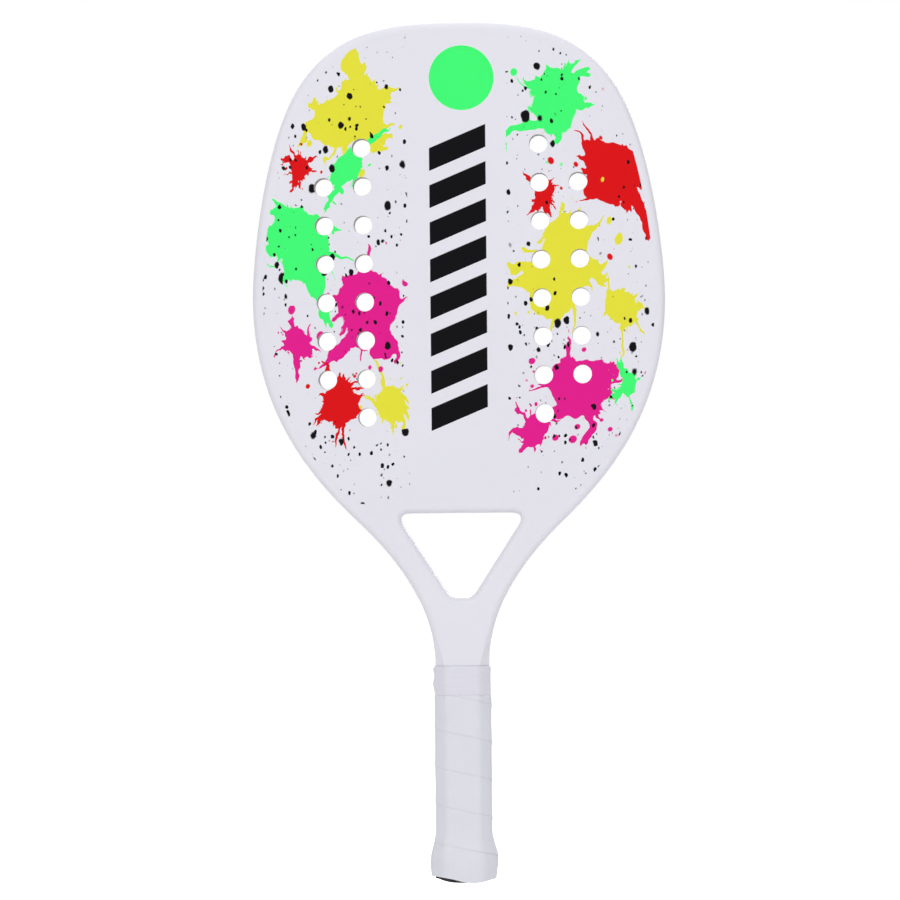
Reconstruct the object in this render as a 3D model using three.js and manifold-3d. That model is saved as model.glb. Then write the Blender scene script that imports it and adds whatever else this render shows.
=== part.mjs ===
// Beach tennis racket. Millimetres, +Z along the racket from butt to tip, +X across the head,
// the front face towards -Y. The origin is on the axis, in the middle of the grip.
import * as THREE from 'three';
import { mergeVertices } from 'three/addons/utils/BufferGeometryUtils.js';
import Module from 'manifold-3d';

const wasm = await Module();
wasm.setup();

// Whole racket; heights are measured from the butt end
const LENGTH = 480;
const HEAD_WIDTH = 230;
const HEAD_THICKNESS = 20;
const RIM_RADIUS = 5;
const HANDLE_LENGTH = 121.5;
const NECK_WIDTH = 30;
const BEVEL_RUN_OUT = 22;

// Half outline of frame and head: how far out, as a share of half the head width, and how far
// up, as a share of the length above the handle. Handle shares are of the same length.
const flankShares = { out: 0.4913, up: 0.2221, below: 0.108, above: 0.0905 };
const widestShares = { up: 0.572, below: 0.184, above: 0.0416 };
const shoulderShares = { out: 0.796, up: 0.882, below: 0.103, above: 0.0533 };
const neckShares = { up: 0.0023, above: 0.0714 };
const crownShare = 0.547;
const FLANK_LEAN = THREE.MathUtils.degToRad(46.2);
const SHOULDER_LEAN = THREE.MathUtils.degToRad(29.7);

// Throat opening between the two arms: how far up its top and its floor are, as a share of the
// length above the handle, and how far out their corners, as a share of the way to the flank
const throatTopShares = { up: 0.2368, out: 0.5927 };
const throatFloorShares = { up: 0.1035, out: 0.2487 };
const THROAT_TOP_RADIUS = 5;
const THROAT_FLOOR_RADIUS = 4.5;

// Hollow tube of the frame, and the bridge across it
const TUBE_WIDTH = 10.4;
const TUBE_WALL = 1.6;
const BRIDGE_HEIGHT = 13;
const BRIDGE_BORE_HEIGHT = 6;

// Legs of the frame inside the handle
const LEGS_WIDTH = 23.6;
const LEGS_DEPTH = 18.6;
const LEG_RADIUS = 4;
const LEG_SLOT = 3;
const SLOT_BELOW_NECK = 12;

// Face sheets and their drilled holes. The rows are placed and spaced by shares of the length
// above the handle, and the columns stand out by shares of half the head width. The pattern as
// a whole was drilled a little to the left and leans a little, with the head's right side higher.
const FACE_THICKNESS = 1.2;
const FACE_INSET = 5.5;
const FACE_CORNER = 7;
const HOLE_DIAMETER = 10.4;
const rowShares = { middle: 0.5684, spacing: 0.0599 };
const columnShares = { inner: 0.4297, outer: 0.6178 };
const drillShiftShare = -0.026;
const DRILL_LEAN = THREE.MathUtils.degToRad(0.8);
const innerRows = { first: -3, last: 4 };
const outerRows = { first: -2, last: 3 };

// Eight-sided handle shells
const PALLET_WIDTH = 28;
const PALLET_DEPTH = 25;
const PALLET_BEVEL = 5.3;
const PALLET_RADIUS = 2;

// Butt cap: its skirt flares out, then rolls in to a shallow dome
const FLARE = 3.2;
const FLARE_START = 29;
const FLARE_PEAK = 12.5;
const ROLL_IN = 2.3;
const SKIRT_TOP = 23;
const DOME_RISE = 3.5;
const CAP_WALL = 2;

// Staples that hold the cap on the shells
const STAPLE_HEIGHT = 12.5;
const STAPLE_SPREAD = 9.6;
const STAPLE_CROWN = 6;
const STAPLE_LEG = 4.6;
const STAPLE_WIRE = 0.8;

// Wound grip and the band at its upper end
const WRAP_THICKNESS = 1.4;
const WRAP_PRESSED = 0.4;
const WRAP_PITCH = 21;
const SEAM_AT_FRONT = 82.8;
const SEAM_GAP = 0.5;
const SEAM_CHAMFER = 0.5;
const SEAM_CHAMFER_WIDTH = 1.6;
const WRAP_BOTTOM = 3.6;
const WRAP_SKEW = 0.6;
const TAPE_THICKNESS = 0.5;
const TAPE_HEIGHT = 16;

// Fits: pieces that touch keep this much between them, and cuts run past by the overrun
const FIT_GAP = 0.3;
const OVERRUN = 2;

// Counts that set how finely the curves are cut
const OUTLINE_STEPS = 11;
const RIM_STEPS = 3;
const ARC_STEPS = 8;
const CORNER_STEPS = 3;
const TUBE_SIDES = 12;
const FLARE_STEPS = 7;
const DOME_STEPS = 4;
const STRIP_STATIONS = 6;
const GRIP_CORNERS = 8;

const palette = {
  lacquer: { color: 0xe6e5ec, roughness: 0.3, metalness: 0 },
  foam: { color: 0xdedbd2, roughness: 0.9, metalness: 0 },
  shell: { color: 0xb9b6ad, roughness: 0.7, metalness: 0 },
  cap: { color: 0x16161a, roughness: 0.5, metalness: 0 },
  steel: { color: 0x9c9fa3, roughness: 0.35, metalness: 1 },
  wrap: { color: 0xe0e0ea, roughness: 0.75, metalness: 0 },
};

const halfThickness = HEAD_THICKNESS / 2;
const bodyLength = LENGTH - HANDLE_LENGTH;
const throatTop = HANDLE_LENGTH + throatTopShares.up * bodyLength;
const throatFloor = HANDLE_LENGTH + throatFloorShares.up * bodyLength;
const pocketFloor = throatTop + BRIDGE_HEIGHT;
const faceFloor = throatTop + FACE_INSET;
const slotTop = HANDLE_LENGTH - SLOT_BELOW_NECK;
const legEnd = DOME_RISE + CAP_WALL + FIT_GAP;
const wrapTop = HANDLE_LENGTH - FIT_GAP;
const tapeBottom = wrapTop - TAPE_HEIGHT;
const coreThickness = HEAD_THICKNESS - 2 * (FACE_THICKNESS + FIT_GAP);
const neckScale = PALLET_DEPTH / HEAD_THICKNESS;
const { lerp, smoothstep } = THREE.MathUtils;

// A closed geometry as a solid that can be cut and joined
function solidOf(geometry) {
  const bare = geometry.clone();
  bare.deleteAttribute('normal');
  bare.deleteAttribute('uv');
  const merged = mergeVertices(bare);
  const mesh = new wasm.Mesh({
    numProp: 3,
    vertProperties: merged.attributes.position.array,
    triVerts: new Uint32Array(merged.index.array),
  });
  return new wasm.Manifold(mesh);
}

function geometryOf(solid) {
  const mesh = solid.getMesh();
  const geometry = new THREE.BufferGeometry();
  geometry.setAttribute('position', new THREE.BufferAttribute(mesh.vertProperties, 3));
  geometry.setIndex(new THREE.BufferAttribute(mesh.triVerts, 1));
  geometry.computeVertexNormals();
  return geometry;
}

// A shape drawn across and up the racket, as a plate from one depth to another
function plate(shape, front, back) {
  const geometry = new THREE.ExtrudeGeometry(shape, {
    depth: back - front,
    bevelEnabled: false,
    curveSegments: ARC_STEPS,
  });
  return geometry.rotateX(Math.PI / 2).translate(0, back, 0);
}

// A shape drawn in the handle's cross section, as a bar from one height to another
function bar(shape, bottom, top) {
  const geometry = new THREE.ExtrudeGeometry(shape, {
    depth: top - bottom,
    bevelEnabled: false,
    curveSegments: ARC_STEPS,
  });
  return geometry.translate(0, 0, bottom);
}

// Rings of equal point counts joined in order; the first and last ring are closed with a fan
function loft(rings) {
  const sides = rings[0].length;
  const points = rings.flat();
  const faces = [];
  const middleOf = (ring) => ring
    .reduce((sum, point) => sum.add(point), new THREE.Vector3())
    .divideScalar(sides);
  for (let level = 0; level < rings.length - 1; level += 1) {
    for (let i = 0; i < sides; i += 1) {
      const a = level * sides + i;
      const b = level * sides + ((i + 1) % sides);
      faces.push(a, b, b + sides, a, b + sides, a + sides);
    }
  }
  const lowest = points.push(middleOf(rings[0])) - 1;
  const highest = points.push(middleOf(rings[rings.length - 1])) - 1;
  const lastRing = (rings.length - 1) * sides;
  for (let i = 0; i < sides; i += 1) {
    const next = (i + 1) % sides;
    faces.push(lowest, next, i);
    faces.push(highest, lastRing + i, lastRing + next);
  }
  const geometry = new THREE.BufferGeometry().setFromPoints(points);
  geometry.setIndex(faces);
  return geometry;
}

// Right half of the outline, from the neck up to the tip
function halfOutline() {
  const at = (out, up) => new THREE.Vector2(out * HEAD_WIDTH / 2, HANDLE_LENGTH + up * bodyLength);
  const along = (point, lean, share) => new THREE.Vector2(
    point.x + Math.sin(lean) * share * bodyLength,
    point.y + Math.cos(lean) * share * bodyLength,
  );
  const neck = new THREE.Vector2(NECK_WIDTH / 2, HANDLE_LENGTH + neckShares.up * bodyLength);
  const flank = at(flankShares.out, flankShares.up);
  const widest = at(1, widestShares.up);
  const shoulder = at(shoulderShares.out, shoulderShares.up);
  const tip = new THREE.Vector2(0, LENGTH);
  const crown = new THREE.Vector2(crownShare * HEAD_WIDTH / 2, LENGTH);
  const pull = (point, share) => along(point, 0, share);
  const path = new THREE.CurvePath();
  const join = (from, leave, arrive, to) => {
    path.add(new THREE.CubicBezierCurve(from, leave, arrive, to));
  };
  join(neck, pull(neck, neckShares.above), along(flank, FLANK_LEAN, -flankShares.below), flank);
  join(flank, along(flank, FLANK_LEAN, flankShares.above), pull(widest, -widestShares.below), widest);
  join(widest, pull(widest, widestShares.above),
    along(shoulder, -SHOULDER_LEAN, -shoulderShares.below), shoulder);
  join(shoulder, along(shoulder, -SHOULDER_LEAN, shoulderShares.above), crown, tip);
  return path;
}

// Points of the half outline with the direction that leads into the racket
function edgeSamples(steps) {
  const samples = [];
  halfOutline().curves.forEach((curve, index) => {
    for (let i = index === 0 ? 0 : 1; i <= steps; i += 1) {
      const point = curve.getPoint(i / steps);
      const tangent = curve.getTangent(i / steps);
      samples.push({ x: point.x, z: point.y, inX: -tangent.y, inZ: tangent.x });
    }
  });
  return samples;
}

const edge = edgeSamples(OUTLINE_STEPS);

// How far out the flank is at a height
function flankAt(height) {
  const next = edge.findIndex((sample) => sample.z > height);
  const low = edge[next - 1];
  const high = edge[next];
  return lerp(low.x, high.x, (height - low.z) / (high.z - low.z));
}

// The racket's whole outline, closed straight across below the neck
function outlineShape() {
  const trim = HANDLE_LENGTH - 2 * RIM_RADIUS;
  const right = edge.map((sample) => new THREE.Vector2(sample.x, sample.z));
  const left = right.slice(0, -1).reverse().map((point) => new THREE.Vector2(-point.x, point.y));
  const foot = [new THREE.Vector2(-NECK_WIDTH / 2, trim), new THREE.Vector2(NECK_WIDTH / 2, trim)];
  return new THREE.Shape([...foot, ...right, ...left]);
}

// The part of the outline above a straight floor, drawn in by an inset, with rounded floor corners
function headShape(inset, floor, corner) {
  const inner = edge
    .map((sample) => new THREE.Vector2(sample.x + sample.inX * inset, sample.z + sample.inZ * inset));
  const first = inner.findIndex((point) => point.y > floor + corner);
  const low = inner[first - 1];
  const high = inner[first];
  const lean = (high.x - low.x) / (high.y - low.y);
  const cornerX = high.x - lean * (high.y - floor);
  const start = new THREE.Vector2(cornerX + lean * corner, floor + corner);
  const right = inner.slice(first);
  const shape = new THREE.Shape();
  shape.moveTo(corner - cornerX, floor);
  shape.lineTo(cornerX - corner, floor);
  shape.quadraticCurveTo(cornerX, floor, start.x, start.y);
  right.forEach((point) => shape.lineTo(point.x, point.y));
  right.slice(0, -1).reverse().forEach((point) => shape.lineTo(-point.x, point.y));
  shape.lineTo(-start.x, start.y);
  shape.quadraticCurveTo(-cornerX, floor, corner - cornerX, floor);
  return shape;
}

// Corners of the throat opening, on the right-hand side
const throatCorner = {
  top: throatTopShares.out * flankAt(throatTop),
  floor: throatFloorShares.out * flankAt(throatFloor),
};
const armSlope = (throatCorner.top - throatCorner.floor) / (throatTop - throatFloor);
const armLean = Math.atan(armSlope);
const armWidth = Math.min(...edge
  .filter((sample) => sample.z > throatFloor && sample.z < throatTop)
  .map((sample) => sample.x - throatCorner.floor - armSlope * (sample.z - throatFloor))
  .map((level) => level * Math.cos(armLean)));
const topTrim = THROAT_TOP_RADIUS / Math.tan((Math.PI / 2 - armLean) / 2);
const floorTrim = THROAT_FLOOR_RADIUS / Math.tan((Math.PI / 2 + armLean) / 2);

// Adds to a path a corner rounded by an arc, drawn from the corner before to the corner after
function roundCorner(path, before, corner, after, trim) {
  const enter = corner.clone().lerp(before, trim / corner.distanceTo(before));
  const leave = corner.clone().lerp(after, trim / corner.distanceTo(after));
  path.lineTo(enter.x, enter.y);
  path.quadraticCurveTo(corner.x, corner.y, leave.x, leave.y);
}

function throatPath() {
  const corners = [
    new THREE.Vector2(throatCorner.floor, throatFloor),
    new THREE.Vector2(throatCorner.top, throatTop),
    new THREE.Vector2(-throatCorner.top, throatTop),
    new THREE.Vector2(-throatCorner.floor, throatFloor),
  ];
  const trims = [floorTrim, topTrim, topTrim, floorTrim];
  const path = new THREE.Path();
  path.moveTo(0, throatFloor);
  corners.forEach((corner, i) => {
    const before = corners[(i + corners.length - 1) % corners.length];
    const after = corners[(i + 1) % corners.length];
    roundCorner(path, before, corner, after, trims[i]);
  });
  path.closePath();
  return path;
}

// The racket is as deep as its head down to the throat, and deepens to the handle below
function depthScale(height) {
  return lerp(neckScale, 1, smoothstep(height, HANDLE_LENGTH, throatTop));
}

// The moulded body before it is cut: rounded rims, and a neck that deepens towards the handle
function mouldedBody() {
  const shape = outlineShape();
  shape.holes.push(throatPath());
  const geometry = new THREE.ExtrudeGeometry(shape, {
    depth: HEAD_THICKNESS - 2 * RIM_RADIUS,
    bevelThickness: RIM_RADIUS,
    bevelSize: RIM_RADIUS,
    bevelOffset: -RIM_RADIUS,
    bevelSegments: RIM_STEPS,
    curveSegments: ARC_STEPS,
  });
  geometry.rotateX(Math.PI / 2).translate(0, halfThickness - RIM_RADIUS, 0);
  const place = geometry.attributes.position;
  for (let i = 0; i < place.count; i += 1) {
    place.setY(i, place.getY(i) * depthScale(place.getZ(i)));
  }
  const room = new THREE.BoxGeometry(HEAD_WIDTH + OVERRUN, 2 * HEAD_THICKNESS, bodyLength + OVERRUN);
  room.translate(0, 0, HANDLE_LENGTH + (bodyLength + OVERRUN) / 2);
  return solidOf(geometry).intersect(solidOf(room));
}

// The handle's bevels run out in the corners of the neck, each as one leaning flat that ends
// where it only just touches the rounded corner
function bevelRunOuts() {
  const top = HANDLE_LENGTH + BEVEL_RUN_OUT;
  const deep = depthScale(top);
  const flatReach = flankAt(top) - RIM_RADIUS + (halfThickness - RIM_RADIUS) * deep;
  const topReach = (flatReach + Math.hypot(RIM_RADIUS, RIM_RADIUS * deep)) / Math.SQRT2;
  const footReach = ((NECK_WIDTH + PALLET_DEPTH) / 2 - PALLET_BEVEL) / Math.SQRT2;
  const shape = new THREE.Shape([
    new THREE.Vector2(footReach, HANDLE_LENGTH - OVERRUN),
    new THREE.Vector2(NECK_WIDTH, HANDLE_LENGTH - OVERRUN),
    new THREE.Vector2(NECK_WIDTH, top),
    new THREE.Vector2(topReach, top),
    new THREE.Vector2(footReach, HANDLE_LENGTH),
  ]);
  return [1, 3, 5, 7].map((eighth) => {
    const cutter = plate(shape, -NECK_WIDTH / 2, NECK_WIDTH / 2);
    return solidOf(cutter.rotateZ(eighth * Math.PI / 4));
  });
}

function roundedRectangle(width, depth, radius) {
  const x = width / 2;
  const y = depth / 2;
  const shape = new THREE.Shape();
  shape.moveTo(radius - x, -y);
  shape.lineTo(x - radius, -y);
  shape.quadraticCurveTo(x, -y, x, radius - y);
  shape.lineTo(x, y - radius);
  shape.quadraticCurveTo(x, y, x - radius, y);
  shape.lineTo(radius - x, y);
  shape.quadraticCurveTo(-x, y, -x, y - radius);
  shape.lineTo(-x, radius - y);
  shape.quadraticCurveTo(-x, -y, radius - x, -y);
  return shape;
}

// A straight box between two corners
function block(low, high) {
  const size = high.clone().sub(low);
  const geometry = new THREE.BoxGeometry(size.x, size.y, size.z);
  return geometry.translate((low.x + high.x) / 2, (low.y + high.y) / 2, (low.z + high.z) / 2);
}

// Places along the tube's hollow on the right-hand side, with its width and depth there
function hollowStations() {
  const legWidth = (LEGS_WIDTH - LEG_SLOT) / 2;
  const legX = LEG_SLOT / 2 + legWidth / 2;
  const neckTube = (NECK_WIDTH - LEG_SLOT) / 2;
  const stations = [legEnd - OVERRUN, HANDLE_LENGTH - OVERRUN].map((z) => ({
    x: legX, z, outX: 1, outZ: 0, width: legWidth, depth: LEGS_DEPTH,
  }));
  const start = HANDLE_LENGTH + neckTube;
  edge.filter((sample) => sample.z > start).forEach((sample) => {
    const upArm = smoothstep(sample.z, HANDLE_LENGTH, throatFloor);
    const intoHead = smoothstep(sample.z, throatTop - BRIDGE_HEIGHT, throatTop);
    const width = lerp(lerp(neckTube, armWidth, upArm), TUBE_WIDTH, intoHead);
    const rebates = lerp(0, 2 * (FACE_THICKNESS + FIT_GAP), intoHead);
    stations.push({
      x: sample.x + sample.inX * width / 2,
      z: sample.z + sample.inZ * width / 2,
      outX: -sample.inX,
      outZ: -sample.inZ,
      width,
      depth: HEAD_THICKNESS * depthScale(sample.z) - rebates,
    });
  });
  return stations;
}

// The hollow inside the tube, in one sweep from leg to leg round the head, open at both leg ends
function tubeHollow() {
  const right = hollowStations();
  const left = right.slice(0, -1).reverse()
    .map((station) => ({ ...station, x: -station.x, outX: -station.outX }));
  const squared = (value) => Math.sign(value) * Math.sqrt(Math.abs(value));
  const rings = [...right, ...left].map((station) => (
    Array.from({ length: TUBE_SIDES }, (_, i) => {
      const turn = (i / TUBE_SIDES) * 2 * Math.PI;
      const out = squared(Math.cos(turn)) * (station.width / 2 - TUBE_WALL);
      const deep = squared(Math.sin(turn)) * (station.depth / 2 - TUBE_WALL);
      return new THREE.Vector3(station.x + station.outX * out, deep, station.z + station.outZ * out);
    })
  ));
  return loft(rings);
}

// Where the bridge sits between the arms, drawn in by a gap at its two ends
function bridgeShape(gap) {
  const foot = throatCorner.top - topTrim - gap / Math.cos(armLean);
  const drop = throatTop - THROAT_TOP_RADIUS;
  const low = foot - armSlope * THROAT_TOP_RADIUS;
  const high = foot + armSlope * BRIDGE_HEIGHT;
  return new THREE.Shape([
    new THREE.Vector2(-low, drop),
    new THREE.Vector2(low, drop),
    new THREE.Vector2(high, pocketFloor),
    new THREE.Vector2(-high, pocketFloor),
  ]);
}

// Room for both face sheets, sunk into frame and bridge
function faceRebates() {
  const shape = headShape(FACE_INSET, faceFloor, FACE_CORNER);
  const depth = FACE_THICKNESS + FIT_GAP;
  const front = solidOf(plate(shape, -halfThickness - OVERRUN, depth - halfThickness));
  const back = solidOf(plate(shape, halfThickness - depth, halfThickness + OVERRUN));
  return front.add(back);
}

function frameTube(body) {
  const legs = bar(roundedRectangle(LEGS_WIDTH, LEGS_DEPTH, LEG_RADIUS), legEnd, HANDLE_LENGTH + OVERRUN);
  const slot = block(
    new THREE.Vector3(-LEG_SLOT / 2, -PALLET_DEPTH, legEnd - OVERRUN),
    new THREE.Vector3(LEG_SLOT / 2, PALLET_DEPTH, slotTop),
  );
  const pocket = headShape(TUBE_WIDTH, pocketFloor, FACE_CORNER);
  const cuts = [
    solidOf(plate(pocket, -HEAD_THICKNESS, HEAD_THICKNESS)),
    solidOf(plate(bridgeShape(0), -HEAD_THICKNESS, HEAD_THICKNESS)),
    solidOf(tubeHollow()),
    solidOf(slot),
    faceRebates(),
    ...bevelRunOuts(),
  ];
  return geometryOf(cuts.reduce((solid, cut) => solid.subtract(cut), body.add(solidOf(legs))));
}

// The bridge shares the moulded body's rounded lower edge and has a bore from end to end
function throatBridge(body) {
  const bore = roundedRectangle(BRIDGE_BORE_HEIGHT, coreThickness - 2 * TUBE_WALL, BRIDGE_BORE_HEIGHT / 2);
  const tunnel = bar(bore, -HEAD_WIDTH / 2, HEAD_WIDTH / 2);
  tunnel.rotateY(Math.PI / 2).translate(0, 0, throatTop + BRIDGE_HEIGHT / 2);
  const blank = body.intersect(solidOf(plate(bridgeShape(FIT_GAP), -HEAD_THICKNESS, HEAD_THICKNESS)));
  return geometryOf(blank.subtract(solidOf(tunnel)).subtract(faceRebates()));
}

// Centres of the drilled holes: an inner and an outer column on each side, row by row
function holeCentres() {
  const columns = [
    { share: columnShares.inner, rows: innerRows },
    { share: columnShares.outer, rows: outerRows },
  ];
  const middle = new THREE.Vector2(
    drillShiftShare * HEAD_WIDTH / 2,
    HANDLE_LENGTH + rowShares.middle * bodyLength,
  );
  const centres = [];
  for (const side of [-1, 1]) {
    for (const { share, rows } of columns) {
      for (let row = rows.first; row <= rows.last; row += 1) {
        const across = side * share * HEAD_WIDTH / 2;
        const up = row * rowShares.spacing * bodyLength;
        const centre = new THREE.Vector2(across, up).add(middle);
        centres.push(centre.rotateAround(middle, DRILL_LEAN));
      }
    }
  }
  return centres;
}

function drilled(shape) {
  holeCentres().forEach((centre) => {
    const hole = new THREE.Path();
    hole.absarc(centre.x, centre.y, HOLE_DIAMETER / 2, 0, 2 * Math.PI, true);
    shape.holes.push(hole);
  });
  return shape;
}

function faceSheet(side) {
  const shape = drilled(headShape(FACE_INSET + FIT_GAP, faceFloor + FIT_GAP, FACE_CORNER));
  const inner = halfThickness - FACE_THICKNESS;
  return side < 0 ? plate(shape, -halfThickness, -inner) : plate(shape, inner, halfThickness);
}

function evaCore() {
  const shape = drilled(headShape(TUBE_WIDTH + FIT_GAP, pocketFloor + FIT_GAP, FACE_CORNER));
  return plate(shape, -coreThickness / 2, coreThickness / 2);
}

function legSpacer() {
  return block(
    new THREE.Vector3(FIT_GAP - LEG_SLOT / 2, -LEGS_DEPTH / 2, legEnd),
    new THREE.Vector3(LEG_SLOT / 2 - FIT_GAP, LEGS_DEPTH / 2, slotTop - FIT_GAP),
  );
}

// One point of the eight-sided grip section, drawn out from the handle shells by an offset.
// Its corners are arcs about fixed centres, so every offset has its points in the same order.
function gripPoint(index, offset) {
  const corner = Math.floor(index / CORNER_STEPS);
  const step = index % CORNER_STEPS;
  const turn = (corner + step / (CORNER_STEPS - 1)) * (Math.PI / 4);
  const quarter = Math.floor(corner / 2);
  const x = PALLET_WIDTH / 2;
  const y = PALLET_DEPTH / 2;
  const sideX = quarter === 0 || quarter === 3 ? 1 : -1;
  const sideY = quarter < 2 ? 1 : -1;
  const nearSide = (corner % 2 === 0) === (sideX * sideY > 0);
  const cut = PALLET_RADIUS * Math.tan(Math.PI / 8);
  const centre = nearSide
    ? new THREE.Vector2(x - PALLET_RADIUS, y - PALLET_BEVEL - cut)
    : new THREE.Vector2(x - PALLET_BEVEL - cut, y - PALLET_RADIUS);
  const reach = PALLET_RADIUS + offset;
  return new THREE.Vector2(
    sideX * centre.x + Math.cos(turn) * reach,
    sideY * centre.y + Math.sin(turn) * reach,
  );
}

const gripCount = GRIP_CORNERS * CORNER_STEPS;

function gripSection(offset) {
  return Array.from({ length: gripCount }, (_, index) => gripPoint(index, offset));
}

function gripRing(offset, height, share = 1) {
  return gripSection(offset).map((point) => new THREE.Vector3(point.x * share, point.y * share, height));
}

// A closed band round the handle between two offsets and two heights
function gripBand(inner, outer, bottom, top) {
  const shape = new THREE.Shape(gripSection(outer));
  shape.holes.push(new THREE.Path(gripSection(inner)));
  return bar(shape, bottom, top);
}

// How far the underside of the wrap stands off the handle shells: close on the handle, then
// out over the flare of the cap and in again at its rim
function wrapSeat(height) {
  const swell = 1 - smoothstep(height, FLARE_PEAK, FLARE_START);
  const below = Math.max(0, (FLARE_PEAK - Math.max(height, WRAP_BOTTOM)) / FLARE_PEAK);
  return FIT_GAP + FLARE * swell - ROLL_IN * below * below;
}

// Four staples, two through each wide side of the cap; drawn larger, they cut their own slots
function stapleShape(grow) {
  const half = STAPLE_CROWN / 2 + grow;
  const wire = STAPLE_WIRE + 2 * grow;
  const tip = STAPLE_LEG + grow;
  return new THREE.Shape([
    new THREE.Vector2(-half, -grow),
    new THREE.Vector2(half, -grow),
    new THREE.Vector2(half, tip),
    new THREE.Vector2(half - wire, tip),
    new THREE.Vector2(half - wire, wire - grow),
    new THREE.Vector2(wire - half, wire - grow),
    new THREE.Vector2(wire - half, tip),
    new THREE.Vector2(-half, tip),
  ]);
}

function staples(grow) {
  const wire = STAPLE_WIRE + 2 * grow;
  const surface = PALLET_DEPTH / 2 + wrapSeat(STAPLE_HEIGHT) - FIT_GAP;
  const pieces = [];
  for (const turn of [0, Math.PI]) {
    for (const side of [-1, 1]) {
      const staple = bar(stapleShape(grow), -wire / 2, wire / 2);
      staple.translate(side * STAPLE_SPREAD / 2, -surface, STAPLE_HEIGHT).rotateZ(turn);
      pieces.push(staple);
    }
  }
  return pieces;
}

function stapleSlots() {
  return staples(FIT_GAP).map(solidOf).reduce((all, slot) => all.add(slot));
}

// Half of the eight-sided handle, moulded round the legs
function pallet(side) {
  const shape = new THREE.Shape(gripSection(0));
  const channel = roundedRectangle(LEGS_WIDTH + 2 * FIT_GAP, LEGS_DEPTH + 2 * FIT_GAP, LEG_RADIUS + FIT_GAP);
  shape.holes.push(channel);
  const shell = solidOf(bar(shape, legEnd, wrapTop));
  const near = side * FIT_GAP / 2;
  const far = side * PALLET_DEPTH;
  const half = block(
    new THREE.Vector3(-PALLET_WIDTH, Math.min(near, far), legEnd - OVERRUN),
    new THREE.Vector3(PALLET_WIDTH, Math.max(near, far), HANDLE_LENGTH),
  );
  return geometryOf(shell.intersect(solidOf(half)).subtract(stapleSlots()));
}

// Rings of the shallow dome, from the small flat in its middle out to its rim, raised by a height
function domeRings(offset, raise) {
  return Array.from({ length: DOME_STEPS }, (_, step) => {
    const rise = DOME_RISE * (step / (DOME_STEPS - 1)) ** 2;
    return gripRing(offset, raise + rise, (step + 1) / DOME_STEPS);
  });
}

function buttCap() {
  const heights = Array.from({ length: FLARE_STEPS }, (_, step) => (
    lerp(DOME_RISE, SKIRT_TOP, (step + 1) / FLARE_STEPS)
  ));
  const rim = wrapSeat(DOME_RISE) - FIT_GAP;
  const skirt = heights.map((height) => gripRing(wrapSeat(height) - FIT_GAP, height));
  const outside = loft([...domeRings(rim, 0), ...skirt]);
  const inside = loft([
    ...domeRings(FIT_GAP, CAP_WALL),
    gripRing(FIT_GAP, SKIRT_TOP + OVERRUN),
  ]);
  return geometryOf(solidOf(outside).subtract(solidOf(inside)).subtract(stapleSlots()));
}

// Cross section of the wrap strip at one place on its helix: up its top, down its underside
function stripRing(index, low) {
  const width = WRAP_PITCH - SEAM_GAP;
  const inland = width - 2 * SEAM_CHAMFER_WIDTH;
  const inner = STRIP_STATIONS - 3;
  const steps = Array.from({ length: inner + 1 }, (_, i) => SEAM_CHAMFER_WIDTH + (i / inner) * inland);
  const across = [0, ...steps, width];
  const at = (step, lift) => {
    const height = low + step;
    const point = gripPoint(index, wrapSeat(height) + lift);
    return new THREE.Vector3(point.x, point.y, height);
  };
  const thickness = (step) => (
    step === 0 || step === width ? WRAP_THICKNESS - SEAM_CHAMFER : WRAP_THICKNESS
  );
  const over = across.map((step) => at(step, thickness(step)));
  const under = across.map((step) => at(step, 0)).reverse();
  return [...over, ...under];
}

// Places of the helix: it climbs by one pitch a turn, in step with the way round the handle,
// from a start below the trimmed end that brings one seam to its height on the front
function helixStations() {
  const section = gripSection(FIT_GAP + WRAP_THICKNESS);
  const legs = section.map((point, i) => point.distanceTo(section[(i + 1) % gripCount]));
  const round = legs.reduce((sum, leg) => sum + leg, 0);
  const atSide = SEAM_AT_FRONT - WRAP_PITCH / 4;
  const turns = Math.ceil((atSide - WRAP_BOTTOM + WRAP_SKEW) / WRAP_PITCH) + 1;
  const start = atSide - turns * WRAP_PITCH;
  const end = wrapTop + OVERRUN;
  const stations = [];
  let low = start;
  for (let step = 0; low < end; step += 1) {
    const index = (gripCount - (step % gripCount)) % gripCount;
    stations.push({ index, low });
    low += WRAP_PITCH * legs[(index + gripCount - 1) % gripCount] / round;
  }
  return stations;
}

// Least distance between the upper edge of each turn and the lower edge of the next
function leastWrapGap(rings) {
  const last = STRIP_STATIONS - 1;
  const edges = [[last, 0], [last + 1, 2 * STRIP_STATIONS - 1]];
  let least = Infinity;
  for (const [upper, lower] of edges) {
    for (let i = 0; i + gripCount + 1 < rings.length; i += 1) {
      const from = rings[i + gripCount][lower];
      const run = new THREE.Line3(from, rings[i + gripCount + 1][lower]);
      for (const near of [rings[i][upper], rings[i + 1][upper]]) {
        const foot = run.closestPointToPoint(near, true, new THREE.Vector3());
        least = Math.min(least, foot.distanceTo(near));
      }
    }
  }
  return least;
}

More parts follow.
